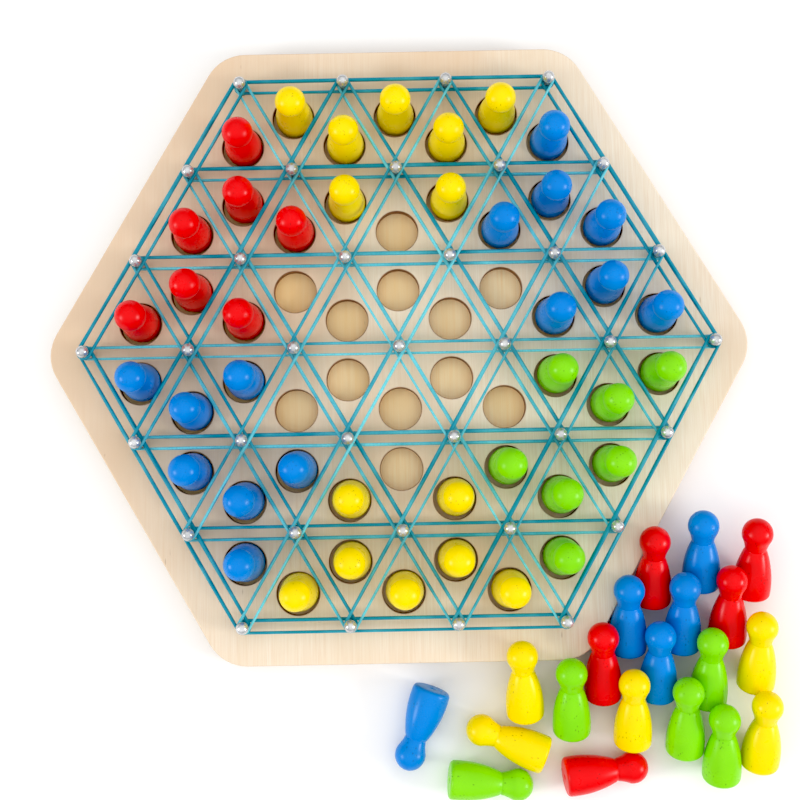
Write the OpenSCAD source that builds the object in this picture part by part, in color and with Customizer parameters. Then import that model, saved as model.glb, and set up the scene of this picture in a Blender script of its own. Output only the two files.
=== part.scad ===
// Triangle rubber-band board game: a hexagonal wooden board, ball-headed pins,
// rubber bands and turned wooden pawns. Units are millimetres.
// The origin is the centre of the board's underside. Z points up, Y to the board's far edge.

/* [Board] */
// Distance between neighbouring pins
pitch = 36; // [34:0.5:42]
// From the outer row of pins to the board's edge
margin = 13.6; // [11:0.2:18]
// Radius of the board's six corners
corner_r = 15; // [8:1:20]
// Thickness of the lower plate
base_t = 6; // [5:0.5:12]
// Thickness of the upper plate, which is the depth of the recesses
top_t = 4; // [3:0.5:6]
// Diameter of the round recesses
recess_d = 14.6; // [14:0.1:16]

/* [Pins] */
// Diameter of the pin's shank
shank_d = 3.0; // [2.4:0.1:3.4]
// Diameter of the ball head
ball_d = 4.3; // [4:0.1:5.5]
// Height of the ball's centre over the board
ball_z = 10.1; // [10:0.1:14]
// Length of shank in the wood
shank_in = 8; // [6:0.5:8.5]

/* [Rubber bands] */
// Thickness of the longest bands
band_t = 0.7; // [0.6:0.05:0.8]
// Extra thickness for each pin spacing that a band is shorter
band_t_step = 0.15; // [0:0.05:0.15]
// Height of the lowest layer of bands over the board
band_z = 4.2; // [2:0.1:4.2]
// Height between layers
band_step = 1.6; // [1.4:0.1:1.6]

/* [Pawns] */
// Widest diameter
pawn_d = 13; // [12:0.1:13.4]
// Height
pawn_h = 28.6; // [26:0.2:32]
// Diameter of the head
head_d = 10.5; // [9.5:0.1:11]
// Diameter of the neck
neck_d = 7.4; // [6:0.1:8]
// Height of the neck
neck_z = 17.6; // [16:0.1:18.4]

/* [Loose pawns] */
// Angle of the leaning pawns from upright
lean = 62; // [61:0.5:63]

/* [Display] */
// Node to draw

/* [Hidden] */
$fn = 64;
rows = 3;
row_h = pitch * sqrt(3) / 2;
board_t = base_t + top_t;
edge_r = rows * row_h + margin;
shank_r = shank_d / 2;
pin_fit = 0.05;
band_fit = 0.03;
over = 0.5;
dimple_r = 0.9;
dimple_deep = 0.8;
seat_gap = 0.1;
foot_r = 1.3;
belly_z = 3.5;
belly_r = pawn_d / 2;
neck_r = neck_d / 2;
head_r = head_d / 2;
head_z = pawn_h - head_r;
flank_r = (pow(neck_z - belly_z, 2) + pow(belly_r - neck_r, 2)) / (2 * (belly_r - neck_r));
foot_x = belly_r - flank_r + sqrt(pow(flank_r, 2) - pow(belly_z - foot_r, 2)) - foot_r;

// R, B, G and Y are red, blue, green and yellow pawns, and a dot is an empty recess.
// Each string is a band of cells between two rows of pins, from the far edge to the near one.
layout = ["RYYYYYB", "RRRY.YBBB", "RRR.....BBB", "BBB.....GGG", "BBBY.YGGG", "BYYYYYG"];

// Cells that hold a pawn, as [band, place in the band]
filled = [for (b = [0:5]) for (j = [0:len(layout[b]) - 1]) if (layout[b][j] != ".") [b, j]];
function word(letter) = letter == "R" ? "red" : letter == "B" ? "blue" : letter == "G" ? "green" : "yellow";
function cell_name(c) = str("pawn_", c[0] + 1, "_", c[1] + 1, "_", word(layout[c[0]][c[1]]));

// Pawns tipped against the board and each other, as [letter, x, y of the foot, turn], from back to front
tiers = ["back", "middle", "front"];
leaning = [
    [
        ["R", 85, -88.5, 0], ["B", 102, -83.5, 1], ["R", 119, -86.5, -2],
        ["B", 76, -104.5, 1], ["B", 94.5, -104, 0], ["R", 110, -102, -1]
    ],
    [
        ["R", 67, -120, 2], ["B", 85.5, -120, 0], ["G", 102.5, -122.5, -1], ["Y", 119, -117.5, -2],
        ["Y", 40.5, -125.5, 4], ["G", 56, -131.5, 2], ["Y", 76.5, -135.5, 1], ["G", 94, -138.5, 0],
        ["Y", 119, -143.5, -3]
    ],
    [
        ["G", 106, -147.5, 1]
    ]
];
function tier_has(t, letter) = len([for (p = leaning[t]) if (p[0] == letter) 1]) > 0;
tier_nodes = [for (t = [0:len(tiers) - 1]) for (c = ["R", "B", "G", "Y"]) if (tier_has(t, c)) [t, c]];
function tier_name(n) = str("leaning_", tiers[n[0]], "_", word(n[1]));

// Pawns lying on the table, as [letter, x and y of the foot, heading of the head]
flat = [["B", 9, -116, 250], ["Y", 47, -139, 158], ["G", 14, -146, -6], ["R", 53, -146, 6]];
function flat_name(p) = str("lying_", word(p[0]));

function paint(letter) =
    letter == "R" ? [0.72, 0.10, 0.10] :
    letter == "B" ? [0.05, 0.28, 0.62] :
    letter == "G" ? [0.06, 0.42, 0.20] : [0.95, 0.68, 0.10];

// Centre of a cell: bands 0 to 2 begin with a triangle that points to the far edge, 3 to 5 with one that doesn't.
function cell_x(c) = (c[1] - (len(layout[c[0]]) - 1) / 2) * pitch / 2;
function points_up(c) = (c[1] + (c[0] < rows ? 0 : 1)) % 2 == 0;
function cell_y(c) = (rows - 1 - c[0]) * row_h + row_h * (points_up(c) ? 1 : 2) / 3;
function in_row(r) = 2 * rows + 1 - abs(r);

// A hexagon with exact round corners: a twelve-sided core and a disc at each corner
module outline() {
    corner_at = (edge_r - corner_r) / cos(30);
    for (i = [0:5])
        rotate(60 * i) translate([corner_at, 0]) circle(r = corner_r);
    polygon([
        for (i = [0:5]) for (side = [-30, 30])
            [corner_at * cos(60 * i) + corner_r * cos(60 * i + side),
             corner_at * sin(60 * i) + corner_r * sin(60 * i + side)]
    ]);
}

module at_pins() {
    for (r = [-rows:rows])
        for (i = [0:in_row(r) - 1])
            translate([(i - (in_row(r) - 1) / 2) * pitch, r * row_h, 0])
                children();
}

module base_board() {
    color([0.86, 0.74, 0.58])
        difference() {
            linear_extrude(base_t) outline();
            at_pins()
                translate([0, 0, board_t - shank_in - seat_gap])
                    cylinder(r = shank_r + pin_fit, h = shank_in);
        }
}

module top_board() {
    color([0.90, 0.80, 0.66])
        translate([0, 0, base_t])
            difference() {
                linear_extrude(top_t) outline();
                at_pins()
                    translate([0, 0, -over])
                        cylinder(r = shank_r + pin_fit, h = top_t + 2 * over);
                for (b = [0:5])
                    for (j = [0:len(layout[b]) - 1])
                        translate([cell_x([b, j]), cell_y([b, j]), -over])
                            cylinder(d = recess_d, h = top_t + 2 * over);
            }
}

// A straight shank under a ball
module pins() {
    color([0.80, 0.80, 0.80])
        at_pins()
            translate([0, 0, board_t]) {
                translate([0, 0, -shank_in])
                    cylinder(r = shank_r, h = shank_in + ball_z);
                translate([0, 0, ball_z])
                    sphere(d = ball_d);
            }
}

// One loop of round cord along X, held open by the shanks of its two end pins
module band(spans) {
    cord_r = (band_t + (2 * rows - spans) * band_t_step) / 2;
    centre_r = shank_r + band_fit + cord_r;
    half = spans * pitch / 2;
    for (side = [-1, 1])
        translate([-half, side * centre_r, 0])
            rotate([0, 90, 0])
                cylinder(r = cord_r, h = 2 * half);
    for (side = [0, 1])
        rotate(180 * side)
            translate([half, 0, 0])
                rotate(-90)
                    rotate_extrude(angle = 180)
                        translate([centre_r, 0])
                            circle(r = cord_r);
}

// Seven loops side by side, one for each line of pins in a direction
module band_layer(turn, layer) {
    color([0.10, 0.62, 0.70])
        rotate(turn)
            for (r = [-rows:rows])
                translate([0, r * row_h, board_t + band_z + layer * band_step])
                    band(in_row(r) - 1);
}

module bands_level() {
    band_layer(0, 0);
}

module bands_falling() {
    band_layer(-60, 1);
}

module bands_rising() {
    band_layer(60, 2);
}

// The pawn's half outline: a foot with a round edge, a flank that is one arc from belly to neck,
// and a head that is a ball over a short taper
module pawn_outline() {
    to_neck = norm([neck_r, neck_z - head_z]);
    touch = atan2(neck_z - head_z, neck_r) + acos(head_r / to_neck);
    intersection() {
        translate([0, -1])
            square([pawn_d, pawn_h + 2]);
        union() {
            translate([0, head_z])
                circle(r = head_r);
            polygon([
                [0, neck_z - 1],
                [neck_r, neck_z - 1],
                [neck_r, neck_z],
                [head_r * cos(touch), head_z + head_r * sin(touch)],
                [0, head_z]
            ]);
            intersection() {
                translate([belly_r - flank_r, belly_z])
                    circle(r = flank_r);
                translate([0, foot_r])
                    square([belly_r, neck_z - foot_r]);
            }
            translate([foot_x, foot_r])
                circle(r = foot_r);
            square([foot_x, neck_z / 2]);
        }
    }
}

module pawn(letter) {
    color(paint(letter))
        difference() {
            rotate_extrude() pawn_outline();
            translate([0, 0, -over])
                cylinder(r1 = dimple_r + over, r2 = 0, h = dimple_deep + over);
        }
}

module board_pawn(c) {
    translate([cell_x(c), cell_y(c), base_t + seat_gap])
        pawn(layout[c[0]][c[1]]);
}

// Tipped towards +Y, with the foot's round edge on the table
module leaning_pawn(p) {
    translate([p[1], p[2], foot_x * sin(lean) - foot_r * cos(lean) + foot_r])
        rotate(p[3])
            rotate([-lean, 0, 0])
                pawn(p[0]);
}

module leaning_group(n) {
    for (p = leaning[n[0]])
        if (p[0] == n[1])
            leaning_pawn(p);
}

// On its side, with the flank and the head touching the table
module lying_pawn(p) {
    along = head_z - belly_z;
    across = flank_r - belly_r;
    tip = asin((flank_r - head_r) / norm([along, across])) - atan2(across, along);
    translate([p[1], p[2], head_z * sin(tip) + head_r])
        rotate([0, 90 + tip, p[3]])
            pawn(p[0]);
}

base_board();
top_board();
pins();
bands_level();
bands_falling();
bands_rising();
for (c = filled)
    board_pawn(c);
for (n = tier_nodes)
    leaning_group(n);
for (p = flat)
    lying_pawn(p);
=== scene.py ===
"""Triangle rubber-band board game: looks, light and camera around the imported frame.

Lengths are in metres and in the frame's own axes: +Z out of the board, +X along the level rows of pins.
"""

import math
import random

import bmesh
import bpy
from mathutils import Matrix, Vector


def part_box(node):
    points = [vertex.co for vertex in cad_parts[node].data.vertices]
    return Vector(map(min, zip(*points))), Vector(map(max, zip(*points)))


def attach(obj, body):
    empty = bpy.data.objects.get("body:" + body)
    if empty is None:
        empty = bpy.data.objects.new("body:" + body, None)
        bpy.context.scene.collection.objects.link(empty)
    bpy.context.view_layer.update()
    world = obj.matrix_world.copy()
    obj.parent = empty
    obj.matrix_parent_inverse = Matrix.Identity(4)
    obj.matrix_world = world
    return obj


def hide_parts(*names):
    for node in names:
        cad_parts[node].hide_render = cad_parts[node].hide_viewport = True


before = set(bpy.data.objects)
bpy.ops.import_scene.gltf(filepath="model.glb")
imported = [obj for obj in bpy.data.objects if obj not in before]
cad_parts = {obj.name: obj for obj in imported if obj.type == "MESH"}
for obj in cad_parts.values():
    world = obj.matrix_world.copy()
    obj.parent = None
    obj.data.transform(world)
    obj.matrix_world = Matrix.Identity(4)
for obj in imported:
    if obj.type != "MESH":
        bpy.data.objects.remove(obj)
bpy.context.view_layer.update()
MM = 0.001

# ---------------------------------------------------------------- driving dimensions
PITCH = 36 * MM
ROW = PITCH * math.sqrt(3) / 2
ROWS = 3
RECESS_R = 7.3 * MM
SHANK_R = 1.5 * MM
PIN_HOLE_R = SHANK_R + 0.05 * MM
CORNER_R = 15 * MM
EDGE_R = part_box("base_board")[1].y
PLATE_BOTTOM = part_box("top_board")[0].z
BOARD_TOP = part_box("top_board")[1].z
TWO_PLIES = 1.35 * MM
ROUND_OVER = 0.5 * MM

BAND_T = 0.7 * MM
BAND_T_STEP = 0.15 * MM
BAND_Z = 4.2 * MM
BAND_STEP = 1.6 * MM
LAYERS = [("level", 0, 0), ("falling", -60, 1), ("rising", 60, 2)]

PAWN_H = 28.6 * MM
BELLY_R = 6.5 * MM
BELLY_Z = 3.5 * MM
NECK_R = 3.7 * MM
NECK_Z = 17.6 * MM
HEAD_R = 5.25 * MM
HEAD_Z = PAWN_H - HEAD_R
FOOT_R = 1.3 * MM
FLANK_R = ((NECK_Z - BELLY_Z) ** 2 + (BELLY_R - NECK_R) ** 2) / (2 * (BELLY_R - NECK_R))
FOOT_X = BELLY_R - FLANK_R + math.sqrt(FLANK_R**2 - (BELLY_Z - FOOT_R) ** 2) - FOOT_R
LEAN = math.radians(62)

# Pawns of the heap: colour, foot x and y in millimetres, turn in degrees
LEANING = {
    "back": [
        ("red", 85, -88.5, 0),
        ("blue", 102, -83.5, 1),
        ("red", 119, -86.5, -2),
        ("blue", 76, -104.5, 1),
        ("blue", 94.5, -104, 0),
        ("red", 110, -102, -1),
    ],
    "middle": [
        ("red", 67, -120, 2),
        ("blue", 85.5, -120, 0),
        ("green", 102.5, -122.5, -1),
        ("yellow", 119, -117.5, -2),
        ("yellow", 40.5, -125.5, 4),
        ("green", 56, -131.5, 2),
        ("yellow", 76.5, -135.5, 1),
        ("green", 94, -138.5, 0),
        ("yellow", 119, -143.5, -3),
    ],
    "front": [("green", 106, -147.5, 1)],
}
LYING = [("blue", 9, -116, 250), ("yellow", 47, -139, 158), ("green", 14, -146, -6), ("red", 53, -146, 6)]


# ---------------------------------------------------------------- materials
class Nodes:
    """A short way to write a node tree: each call adds a node, sets its values and joins its inputs."""

    def __init__(self, name):
        self.material = bpy.data.materials.new(name)
        self.material.use_nodes = True
        self.tree = self.material.node_tree
        self.shader = self.tree.nodes["Principled BSDF"]
        self.place = self.add("ShaderNodeTexCoord").outputs["Object"]

    def add(self, kind, **values):
        node = self.tree.nodes.new(kind)
        for key, value in values.items():
            setattr(node, key, value)
        return node

    def join(self, socket, value):
        if isinstance(value, bpy.types.NodeSocket):
            self.tree.links.new(value, socket)
        else:
            socket.default_value = value

    def stretch(self, scale, shift=(0, 0, 0)):
        node = self.add("ShaderNodeMapping")
        self.join(node.inputs["Vector"], self.place)
        node.inputs["Scale"].default_value = scale
        self.join(node.inputs["Location"], shift)
        return node.outputs["Vector"]

    def noise(self, vector, scale, detail=3.0, rough=0.5):
        node = self.add("ShaderNodeTexNoise")
        self.join(node.inputs["Vector"], vector)
        node.inputs["Scale"].default_value = scale
        node.inputs["Detail"].default_value = detail
        node.inputs["Roughness"].default_value = rough
        return node.outputs["Fac"]

    def spots(self, vector, scale):
        node = self.add("ShaderNodeTexVoronoi")
        self.join(node.inputs["Vector"], vector)
        node.inputs["Scale"].default_value = scale
        return node.outputs["Distance"]

    def band(self, value, low, high, out_low=0.0, out_high=1.0):
        node = self.add("ShaderNodeMapRange")
        self.join(node.inputs["Value"], value)
        for key, number in zip(("From Min", "From Max", "To Min", "To Max"), (low, high, out_low, out_high)):
            node.inputs[key].default_value = number
        return node.outputs["Result"]

    def math(self, operation, a, b=0.0):
        node = self.add("ShaderNodeMath", operation=operation)
        self.join(node.inputs[0], a)
        self.join(node.inputs[1], b)
        return node.outputs["Value"]

    def mix(self, factor, a, b, blend="MIX"):
        node = self.add("ShaderNodeMix", data_type="RGBA", blend_type=blend)
        self.join(node.inputs["Factor"], factor)
        self.join(node.inputs["A"], (*a, 1) if isinstance(a, tuple) else a)
        self.join(node.inputs["B"], (*b, 1) if isinstance(b, tuple) else b)
        return node.outputs["Result"]

    def bump(self, height, strength, distance, below=None):
        node = self.add("ShaderNodeBump")
        self.join(node.inputs["Height"], height)
        node.inputs["Strength"].default_value = strength
        node.inputs["Distance"].default_value = distance
        if below is not None:
            self.join(node.inputs["Normal"], below)
        return node.outputs["Normal"]

    def finish(self, color, roughness, normal, **fixed):
        self.join(self.shader.inputs["Base Color"], color)
        self.join(self.shader.inputs["Roughness"], roughness)
        self.join(self.shader.inputs["Normal"], normal)
        for name, value in fixed.items():
            self.shader.inputs[name.replace("_", " ")].default_value = value
        return self.material


def wood(name, light, mid, warm, shift, marks=False):
    """Pale plywood with its grain along Y, warmer towards the board's far left, and plies on its edges.
    With marks, the mesh says where it is scorched and where it is an edge."""
    n = Nodes(name)
    place = n.add("ShaderNodeSeparateXYZ")
    n.join(place.inputs["Vector"], n.place)
    towards = n.math("SUBTRACT", n.math("MULTIPLY", place.outputs["Y"], 0.5), place.outputs["X"])
    streaks = n.noise(n.stretch((1, 0.035, 1), (shift, 0, 0)), 900, 5, 0.6)
    broad = n.noise(n.stretch((1, 0.16, 1), (shift, 0, 0)), 60, 3, 0.5)
    cloud = n.noise(n.stretch((1, 0.6, 1), (0, shift, 0)), 22, 2, 0.5)
    fibre = n.noise(n.stretch((1, 0.02, 1), (0, shift, 0)), 3200, 2, 0.5)
    color = n.mix(n.band(streaks, 0.35, 0.70), light, mid)
    color = n.mix(n.band(fibre, 0.45, 0.75, 0, 0.5), color, warm)
    color = n.mix(n.band(broad, 0.45, 0.75, 0, 0.55), color, mid)
    color = n.mix(n.band(cloud, 0.48, 0.72, 0, 0.75), color, warm)
    far_left = n.math("ADD", towards, n.math("MULTIPLY", cloud, 0.12))
    color = n.mix(n.band(far_left, -0.02, 0.19, 0, 0.8), color, warm)
    flecks = n.spots(n.stretch((1, 0.18, 1), (shift, shift, 0)), 420)
    rare = n.noise(n.stretch((1, 1, 1), (0, 0, shift)), 130, 1, 0.5)
    fleck = n.math("MULTIPLY", n.band(flecks, 0.05, 0.12, 1, 0), n.band(rare, 0.62, 0.66))
    color = n.mix(n.math("MULTIPLY", fleck, 0.45), color, (0.40, 0.24, 0.13))
    if marks:
        mark = n.add("ShaderNodeAttribute", attribute_name="marks")
        split = n.add("ShaderNodeSeparateColor")
        n.join(split.inputs["Color"], mark.outputs["Color"])
        scorch, side = split.outputs["Red"], split.outputs["Green"]
    else:
        facing = n.add("ShaderNodeSeparateXYZ")
        n.join(facing.inputs["Vector"], n.add("ShaderNodeTexCoord").outputs["Normal"])
        side = n.band(n.math("ABSOLUTE", facing.outputs["Z"]), 0.3, 0.7, 1, 0)
    plies = n.math("SINE", n.math("MULTIPLY", place.outputs["Z"], 2 * math.pi / TWO_PLIES))
    ply = n.mix(n.band(plies, -0.3, 0.3), (0.72, 0.56, 0.38), (0.50, 0.35, 0.21))
    color = n.mix(side, color, ply)
    if marks:
        uneven = n.noise(n.stretch((1, 1, 1)), 500, 3, 0.6)
        burnt = n.mix(n.band(uneven, 0.3, 0.7), (0.12, 0.042, 0.015), (0.36, 0.150, 0.050))
        reach = n.math("MULTIPLY", scorch, n.band(uneven, 0.25, 0.65, 0.9, 1.45))
        color = n.mix(n.math("MINIMUM", reach, 1.0), color, burnt)
    grain = n.bump(fibre, 0.25, 0.00004)
    grain = n.bump(streaks, 0.30, 0.00006, grain)
    return n.finish(color, n.band(streaks, 0.3, 0.7, 0.52, 0.66), grain, Specular_IOR_Level=0.35)


def paint(name, color, deep):
    """Satin paint on turned wood: lathe rings along the pawn's own axis, open pores, a slightly uneven coat."""
    n = Nodes(name)
    n.place = n.add("ShaderNodeAttribute", attribute_name="turned").outputs["Vector"]
    random_value = n.add("ShaderNodeObjectInfo").outputs["Random"]
    shift = n.add("ShaderNodeCombineXYZ")
    for axis in ("X", "Y", "Z"):
        n.join(shift.inputs[axis], n.math("MULTIPLY", random_value, 3.7))
    place = n.stretch((1, 1, 1), shift.outputs["Vector"])
    rings = n.noise(n.stretch((0.02, 0.02, 1), shift.outputs["Vector"]), 2600, 2, 0.6)
    coat = n.noise(place, 160, 3, 0.55)
    fine = n.noise(place, 1500, 3, 0.6)
    pores = n.spots(n.stretch((1, 1, 0.55), shift.outputs["Vector"]), 900)
    rare = n.noise(place, 210, 1, 0.5)
    pore = n.math("MULTIPLY", n.band(pores, 0.10, 0.24, 1, 0), n.band(rare, 0.50, 0.60))
    body = n.mix(n.band(coat, 0.3, 0.75, 0, 0.35), color, deep)
    body = n.mix(n.math("MULTIPLY", random_value, 0.16), body, deep)
    body = n.mix(n.math("MULTIPLY", pore, 0.55), body, tuple(0.25 * c for c in deep))
    relief = n.bump(rings, 0.16, 0.00005)
    relief = n.bump(fine, 0.10, 0.00004, relief)
    relief = n.bump(n.math("MULTIPLY", pore, -1.0), 0.5, 0.00008, relief)
    rough = n.band(coat, 0.3, 0.7, 0.24, 0.34)
    return n.finish(body, rough, relief, Specular_IOR_Level=0.26)


def metal(name):
    """Polished nickel with faint scratches and cloudy patches."""
    n = Nodes(name)
    cloud = n.noise(n.stretch((1, 1, 1)), 420, 3, 0.6)
    scratches = n.noise(n.stretch((1, 0.06, 1)), 2600, 3, 0.6)
    color = n.mix(n.band(cloud, 0.3, 0.7), (0.50, 0.51, 0.52), (0.76, 0.77, 0.78))
    relief = n.bump(scratches, 0.10, 0.00003)
    return n.finish(color, n.band(cloud, 0.3, 0.7, 0.20, 0.30), relief, Metallic=0.7)


def rubber(name, light, dark):
    """Rubber, paler the further it is stretched and darker round the pins as painted shade under the pin heads,
    both of which the mesh says, with fine creases across it.
    """
    n = Nodes(name)
    mark = n.add("ShaderNodeAttribute", attribute_name="marks")
    split = n.add("ShaderNodeSeparateColor")
    n.join(split.inputs["Color"], mark.outputs["Color"])
    long = n.noise(n.stretch((1, 1, 1)), 75, 2, 0.5)
    short = n.noise(n.stretch((1, 1, 1)), 1400, 3, 0.6)
    # slack: the stretch tone from the mesh, which also holds the painted shade where the band wraps under the
    # pin heads
    slack = n.math("ADD", split.outputs["Red"], n.band(long, 0.35, 0.65, -0.25, 0.25))
    color = n.mix(n.math("MINIMUM", n.math("MAXIMUM", slack, 0.0), 1.0), light, dark)
    color = n.mix(n.band(short, 0.45, 0.75, 0, 0.3), color, tuple(0.6 * c for c in dark))
    rough = n.band(short, 0.3, 0.7, 0.38, 0.55)
    return n.finish(color, rough, n.bump(short, 0.25, 0.00005), Specular_IOR_Level=0.32)


def matte(name, color):
    n = Nodes(name)
    grain = n.noise(n.stretch((1, 1, 1)), 40, 2, 0.5)
    shade = n.mix(n.band(grain, 0.3, 0.7), color, tuple(0.995 * c for c in color))
    return n.finish(shade, 0.8, n.bump(grain, 0.01, 0.00005), Specular_IOR_Level=0.1)


PAINTS = {
    "red": paint("paint_red", (0.86, 0.002, 0.004), (0.62, 0.002, 0.003)),
    "blue": paint("paint_blue", (0.001, 0.24, 0.73), (0.001, 0.17, 0.56)),
    "green": paint("paint_green", (0.25, 0.74, 0.010), (0.16, 0.58, 0.006)),
    "yellow": paint("paint_yellow", (0.98, 0.77, 0.001), (0.90, 0.62, 0.001)),
}
TOP_WOOD = wood("birch_top", (0.93, 0.83, 0.69), (0.86, 0.73, 0.56), (0.76, 0.55, 0.37), 0.3, marks=True)
FLOOR_WOOD = wood("birch_base", (1.0, 0.83, 0.56), (0.94, 0.70, 0.40), (0.95, 0.63, 0.27), 1.7)
NICKEL = metal("nickel")
RUBBER = rubber("rubber", (0.17, 0.68, 0.77), (0.001, 0.27, 0.38))


# ---------------------------------------------------------------- mesh helpers
def new_piece(name, bm, material, smooth=True):
    mesh = bpy.data.meshes.new(name)
    bmesh.ops.recalc_face_normals(bm, faces=bm.faces)
    bm.to_mesh(mesh)
    bm.free()
    for face in mesh.polygons:
        face.use_smooth = smooth
    mesh.materials.append(material)
    obj = bpy.data.objects.new(name, mesh)
    bpy.context.scene.collection.objects.link(obj)
    return obj


def ring(bm, count, radius, z, centre=(0, 0)):
    x, y = centre
    steps = [2 * math.pi * i / count for i in range(count)]
    return [bm.verts.new((x + radius * math.cos(a), y + radius * math.sin(a), z)) for a in steps]


def skin(bm, lower, upper):
    count = len(lower)
    for i in range(count):
        j = (i + 1) % count
        bm.faces.new((lower[i], lower[j], upper[j], upper[i]))


def loop_edges(bm, loop):
    return [bm.edges.get((a, b)) or bm.edges.new((a, b)) for a, b in zip(loop, loop[1:] + loop[:1])]


# ---------------------------------------------------------------- board
def row_count(r):
    return 2 * ROWS + 1 - abs(r)


def pin_places():
    for r in range(-ROWS, ROWS + 1):
        for i in range(row_count(r)):
            yield ((i - (row_count(r) - 1) / 2) * PITCH, r * ROW)


def cell_places():
    for r in range(-ROWS, ROWS):
        near, far = row_count(r), row_count(r + 1)
        for i in range(near - 1):
            yield ((i - (near - 2) / 2) * PITCH, (r + 1 / 3) * ROW)
        for i in range(far - 1):
            yield ((i - (far - 2) / 2) * PITCH, (r + 2 / 3) * ROW)


def outline(bm, inset, z, steps=8):
    """The hexagon with round corners, drawn inset from its edge."""
    corner_at = (EDGE_R - CORNER_R) / math.cos(math.radians(30))
    radius = CORNER_R - inset
    loop = []
    for corner in range(6):
        turn = math.radians(60 * corner)
        for k in range(steps + 1):
            a = turn + math.radians(60) * (k / steps - 0.5)
            x = corner_at * math.cos(turn) + radius * math.cos(a)
            y = corner_at * math.sin(turn) + radius * math.sin(a)
            loop.append(bm.verts.new((x, y, z)))
    return loop


def top_plate():
    """The upper plate: an edge with a small round-over, recesses with scorched rims, and the pin holes."""
    bm = bmesh.new()
    marks = bm.verts.layers.float_color.new("marks")
    sheet, under = [], []

    def stack(loops, values):
        for loop, value in zip(loops, values):
            for vert in loop:
                vert[marks] = (*value, 0.0, 1.0)
        for low, high in zip(loops[1:], loops):
            skin(bm, low, high)
        sheet.extend(loop_edges(bm, loops[0]))
        under.extend(loop_edges(bm, loops[-1]))

    edge = [outline(bm, ROUND_OVER, BOARD_TOP)]
    for k in range(1, 5):
        a = math.radians(90 * k / 4)
        edge.append(outline(bm, ROUND_OVER * (1 - math.sin(a)), BOARD_TOP - ROUND_OVER * (1 - math.cos(a))))
    edge.append(outline(bm, 0, PLATE_BOTTOM))
    stack(edge, [(0, 0), (0, 0), (0, 0.15), (0, 0.5), (0, 0.9), (0, 1)])

    for x, y in cell_places():
        rings = [
            ring(bm, 72, RECESS_R + 0.50 * MM, BOARD_TOP, (x, y)),
            ring(bm, 72, RECESS_R + 0.22 * MM, BOARD_TOP, (x, y)),
            ring(bm, 72, RECESS_R + 0.08 * MM, BOARD_TOP - 0.02 * MM, (x, y)),
            ring(bm, 72, RECESS_R, BOARD_TOP - 0.10 * MM, (x, y)),
            ring(bm, 72, RECESS_R, PLATE_BOTTOM + 0.8 * MM, (x, y)),
            ring(bm, 72, RECESS_R, PLATE_BOTTOM, (x, y)),
        ]
        stack(rings, [(0, 0), (0.25, 0), (0.85, 0), (1, 0), (0.9, 0), (0.75, 0)])
    for x, y in pin_places():
        rings = [
            ring(bm, 24, PIN_HOLE_R + 0.25 * MM, BOARD_TOP, (x, y)),
            ring(bm, 24, PIN_HOLE_R, BOARD_TOP - 0.15 * MM, (x, y)),
            ring(bm, 24, PIN_HOLE_R, PLATE_BOTTOM, (x, y)),
        ]
        stack(rings, [(0.05, 0), (0.35, 0), (0.4, 0)])
    bmesh.ops.triangle_fill(bm, use_beauty=True, edges=sheet)
    bmesh.ops.triangle_fill(bm, use_beauty=True, edges=under)
    plate = new_piece("top_plate", bm, TOP_WOOD, smooth=False)
    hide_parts("top_board")
    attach(plate, "board")


# ---------------------------------------------------------------- pawns
def pawn_profile():
    """(radius, height) from the middle of the foot to the top of the head."""
    points = [(0.0, 0.75 * MM), (0.35 * MM, 0.45 * MM), (0.9 * MM, 0.06 * MM), (1.15 * MM, 0.0)]
    points += [(FOOT_X * k / 4, 0.0) for k in (2, 3)]
    for k in range(8):
        a = math.radians(-90 + 86 * k / 7)
        points.append((FOOT_X + FOOT_R * math.cos(a), FOOT_R + FOOT_R * math.sin(a)))
    flank_steps = 22
    for k in range(1, flank_steps + 1):
        z = FOOT_R + (NECK_Z - FOOT_R) * k / flank_steps
        points.append((BELLY_R - FLANK_R + math.sqrt(FLANK_R**2 - (z - BELLY_Z) ** 2), z))
    # the crease: a shallow groove where the cutter stopped
    r, z = points.pop()
    points += [(r - 0.02 * MM, z - 0.2 * MM), (r - 0.14 * MM, z), (r - 0.10 * MM, z + 0.16 * MM)]
    to_neck = math.hypot(NECK_R, NECK_Z - HEAD_Z)
    touch = math.atan2(NECK_Z - HEAD_Z, NECK_R) + math.acos(HEAD_R / to_neck)
    start, end = (NECK_R, NECK_Z + 0.3 * MM), (HEAD_R * math.cos(touch), HEAD_Z + HEAD_R * math.sin(touch))
    for k in range(6):
        t = k / 6
        dip = 0.16 * MM * math.sin(math.pi * t)
        points.append((start[0] + (end[0] - start[0]) * t - dip, start[1] + (end[1] - start[1]) * t))
    head_steps = 20
    for k in range(head_steps + 1):
        a = touch + (math.pi / 2 - touch) * k / head_steps
        points.append((HEAD_R * math.cos(a), HEAD_Z + HEAD_R * math.sin(a)))
    points[-1] = (0.0, PAWN_H)
    return points


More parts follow.
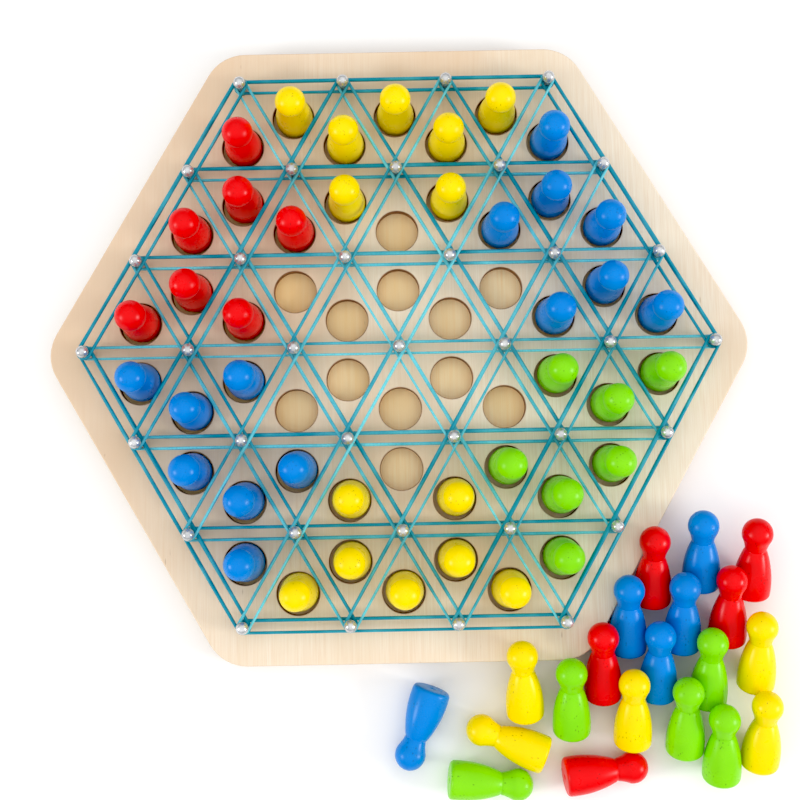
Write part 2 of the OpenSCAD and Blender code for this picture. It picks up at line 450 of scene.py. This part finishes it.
def pawn_mesh(name, colour, matrix):
    """A turned pawn, its girth a little uneven as each real one's is. The mesh keeps its place on the lathe."""
    rng = random.Random(name)
    matrix = matrix @ Matrix.Rotation(rng.uniform(0, 2 * math.pi), 4, "Z")
    full = 2 * math.pi
    swell = [(rng.uniform(0, full), rng.uniform(0.0, 0.05) * MM, rng.uniform(90, 260)) for _ in range(3)]
    bm = bmesh.new()
    count, loops = 56, []
    points = pawn_profile()
    for r, z in points[1:-1]:
        drift = sum(size * math.sin(z * rate + phase) for phase, size, rate in swell)
        scale = 1 + (drift / BELLY_R if r > 2 * MM else 0)
        loops.append(ring(bm, count, r * scale, z))
    for low, high in zip(loops, loops[1:]):
        skin(bm, low, high)
    foot, crown = bm.verts.new((0, 0, points[0][1])), bm.verts.new((0, 0, points[-1][1]))
    for i in range(count):
        j = (i + 1) % count
        bm.faces.new((loops[0][j], loops[0][i], foot))
        bm.faces.new((loops[-1][i], loops[-1][j], crown))
    turned = bm.verts.layers.float_vector.new("turned")
    for vert in bm.verts:
        vert[turned] = vert.co
        vert.co = matrix @ vert.co
    return new_piece(name, bm, PAINTS[colour])


def place_pawn(name, colour, matrix, node, body):
    pawn = pawn_mesh(name, colour, matrix)
    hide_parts(node)
    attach(pawn, body)


def board_pawns():
    """Each pawn stands where the player left it, most of them towards the far right side of their recess."""
    rng = random.Random(7)
    for node in sorted(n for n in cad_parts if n.startswith("pawn_")):
        low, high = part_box(node)
        x = (low.x + high.x) / 2 + (0.35 + rng.uniform(-0.15, 0.15)) * MM
        y = (low.y + high.y) / 2 + (0.4 + rng.uniform(-0.15, 0.15)) * MM
        spot = Matrix.Translation((x, y, low.z))
        place_pawn("turned_" + node, node.split("_")[-1], spot, node, node)


def loose_pawns():
    """The leaning pawns with their foot's round edge on the table, and the lying ones on flank and head."""
    rest_z = FOOT_X * math.sin(LEAN) - FOOT_R * math.cos(LEAN) + FOOT_R
    for tier, places in LEANING.items():
        for number, (colour, x, y, turn) in enumerate(places, 1):
            spot = Matrix.Translation((x * MM, y * MM, rest_z))
            spot = spot @ Matrix.Rotation(math.radians(turn), 4, "Z") @ Matrix.Rotation(-LEAN, 4, "X")
            name = f"loose_{tier}_{number}_{colour}"
            place_pawn(name, colour, spot, f"leaning_{tier}_{colour}", "leaning_" + tier)
    along, across = HEAD_Z - BELLY_Z, FLANK_R - BELLY_R
    tip = math.asin((FLANK_R - HEAD_R) / math.hypot(along, across)) - math.atan2(across, along)
    for colour, x, y, heading in LYING:
        spot = Matrix.Translation((x * MM, y * MM, HEAD_Z * math.sin(tip) + HEAD_R))
        spot = spot @ Matrix.Rotation(math.radians(heading), 4, "Z")
        spot = spot @ Matrix.Rotation(math.pi / 2 + tip, 4, "Y")
        node = "lying_" + colour
        place_pawn("loose_flat_" + colour, colour, spot, node, node)


# ---------------------------------------------------------------- rubber bands
def band_route(spans, thick, rng):
    """The points of a closed loop in the line's own axes, each with the tape's twist, how slack it looks and
    how wide it is there; round the pins the tone is darker, which is painted shade under the pin heads. It runs
    along one side, round the last pin, back along the slacker side and round the first pin."""
    half = spans * PITCH / 2
    slack = (2 * ROWS - spans) / ROWS
    offset = SHANK_R + 0.5 * thick
    heights = [[rng.uniform(-0.3, 0.3) * MM for _ in range(spans + 1)] for _ in range(2)]
    per_span, wrap = 10, 12
    total = spans * per_span
    route, twist = [], 0.0
    for side in (0, 1):
        way = 1 if side == 0 else -1
        levels = heights[side] if side == 0 else heights[side][::-1]
        turns = rng.choice((-1, 0, 1, 1)) * math.pi
        phase = rng.uniform(0, 1)
        tones = [slack**1.2 + 0.38 * side + rng.uniform(-0.20, 0.34) for _ in range(spans + 1)]
        for k in range(total + 1):
            t = k / total
            i = min(int(t * spans), spans - 1)
            f = t * spans - i
            z = levels[i] + (levels[i + 1] - levels[i]) * f
            tone = tones[i] + (tones[i + 1] - tones[i]) * f
            ease = t + 0.06 * math.sin(2 * math.pi * (t + phase)) - 0.06 * math.sin(2 * math.pi * phase)
            place = Vector((way * (half * (2 * t - 1)), -way * offset, z))
            route.append((place, twist + turns * ease, tone, 0.96 if side == 0 else 1.14))
        twist += turns
        last, first = levels[-1], (heights[1][-1] if side == 0 else heights[0][0])
        # the wraps round the pins get 0.3 more tone: painted shade under the pin heads
        for k in range(1, wrap):
            a = math.pi * k / wrap
            x = way * (half + offset * math.sin(a))
            z = last + (first - last) * k / wrap
            route.append((Vector((x, -way * offset * math.cos(a), z)), twist, slack + 0.3, 1.0))
    return route, twist


def tape(bm, route, end_twist, wide, tall):
    """A closed tube of rounded rectangular section that follows the route."""
    marks = bm.verts.layers.float_color.new("marks")
    count, sides, power = len(route), 12, 0.55
    loops = []
    for k, (point, twist, tone, swell) in enumerate(route):
        ahead, behind = route[(k + 1) % count][0], route[k - 1][0]
        tangent = (ahead - behind).normalized()
        out = tangent.cross(Vector((0, 0, 1))).normalized()
        up = out.cross(tangent)
        loop = []
        for s in range(sides):
            a = 2 * math.pi * s / sides
            u = math.copysign(abs(math.cos(a)) ** power, math.cos(a)) * swell * wide / 2
            v = math.copysign(abs(math.sin(a)) ** power, math.sin(a)) * swell * tall / 2
            turned = (u * math.cos(twist) - v * math.sin(twist), u * math.sin(twist) + v * math.cos(twist))
            vert = bm.verts.new(point + out * turned[0] + up * turned[1])
            # the Red mark is the tone: the stretch, plus painted shade where the tape wraps under the pin heads
            vert[marks] = (max(0.0, min(1.0, tone)), 0.0, 0.0, 1.0)
            loop.append(vert)
        loops.append(loop)
    for low, high in zip(loops, loops[1:]):
        skin(bm, low, high)
    half_turns = round(end_twist / math.pi) % 2
    first = loops[0][sides // 2:] + loops[0][:sides // 2] if half_turns else loops[0]
    skin(bm, loops[-1], first)


def rubber_bands():
    rng = random.Random(21)
    for direction, degrees, layer in LAYERS:
        for r in range(-ROWS, ROWS + 1):
            spans = row_count(r) - 1
            cord = BAND_T + (2 * ROWS - spans) * BAND_T_STEP
            thick = 0.62 * MM + 0.42 * cord
            route, end_twist = band_route(spans, thick, rng)
            bm = bmesh.new()
            tape(bm, route, end_twist, thick * 0.95, thick * 1.2)
            band = new_piece(f"band_{direction}_{r + ROWS + 1}", bm, RUBBER)
            turn = Matrix.Rotation(math.radians(degrees), 4, "Z")
            height = BOARD_TOP + BAND_Z + layer * BAND_STEP
            band.matrix_world = turn @ Matrix.Translation((0, r * ROW, height))
            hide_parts("bands_" + direction)
            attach(band, "board")


# ---------------------------------------------------------------- finishes on the CAD's own nodes
def dress(node, material):
    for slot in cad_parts[node].material_slots:
        slot.material = material


# ---------------------------------------------------------------- stage, light and camera
def floor():
    bm = bmesh.new()
    size = 3.0
    corners = [bm.verts.new((x * size, y * size, -0.0002)) for x, y in ((-1, -1), (1, -1), (1, 1), (-1, 1))]
    bm.faces.new(corners)
    new_piece("studio_floor", bm, matte("studio_white", (0.96, 0.96, 0.96)), smooth=False)


def softbox(name, place, target, size, power):
    lamp = bpy.data.lights.new(name, "AREA")
    lamp.shape = "RECTANGLE"
    lamp.size, lamp.size_y = size
    lamp.energy = power
    obj = bpy.data.objects.new(name, lamp)
    obj.location = place
    obj.rotation_euler = (Vector(target) - Vector(place)).to_track_quat("-Z", "Y").to_euler()
    bpy.context.scene.collection.objects.link(obj)


def light():
    """A tent that is bright overhead and dims towards the table, and a softbox low on each side."""
    world = bpy.data.worlds.new("studio")
    world.use_nodes = True
    tree = world.node_tree
    place = tree.nodes.new("ShaderNodeTexCoord")
    split = tree.nodes.new("ShaderNodeSeparateXYZ")
    fade = tree.nodes.new("ShaderNodeMapRange")
    for key, value in zip(("From Min", "From Max", "To Min", "To Max"), (0.15, 0.85, 0.36, 1.18)):
        fade.inputs[key].default_value = value
    tree.links.new(split.inputs["Vector"], place.outputs["Generated"])
    tree.links.new(fade.inputs["Value"], split.outputs["Z"])
    tree.links.new(tree.nodes["Background"].inputs["Strength"], fade.outputs["Result"])
    tree.nodes["Background"].inputs["Color"].default_value = (1, 1, 1, 1)
    bpy.context.scene.world = world
    softbox("left_box", (-1.15, -0.32, 0.54), (0, 0, 0), (0.36, 0.36), 4.8)
    softbox("right_box", (1.15, -0.32, 0.54), (0, 0, 0), (0.36, 0.36), 6.2)


def camera():
    """Almost straight above the board and tipped seven degrees, close enough for the pawns to lean outwards."""
    lens = bpy.data.cameras.new("camera")
    lens.lens, lens.sensor_width = 60, 36
    lens.shift_y = -0.075
    lens.clip_start = 0.05
    obj = bpy.data.objects.new("camera", lens)
    obj.location = (-0.8 * MM, -53.6 * MM, BOARD_TOP + 461 * MM)
    roll, tilt = math.radians(1.13), math.radians(7.02)
    obj.matrix_world = (
        Matrix.Translation(obj.location) @ Matrix.Rotation(-roll, 4, "Z") @ Matrix.Rotation(tilt, 4, "X")
    )
    bpy.context.scene.collection.objects.link(obj)
    bpy.context.scene.camera = obj


def grade():
    """A plain transform with the haze taken out of the darkest tones, as in a product photo."""
    view = bpy.context.scene.view_settings
    view.view_transform = "Standard"
    view.use_curve_mapping = True
    view.curve_mapping.black_level = (0.016, 0.016, 0.016)


camera()
light()
floor()
top_plate()
dress("base_board", FLOOR_WOOD)
dress("pins", NICKEL)
board_pawns()
loose_pawns()
rubber_bands()
grade()
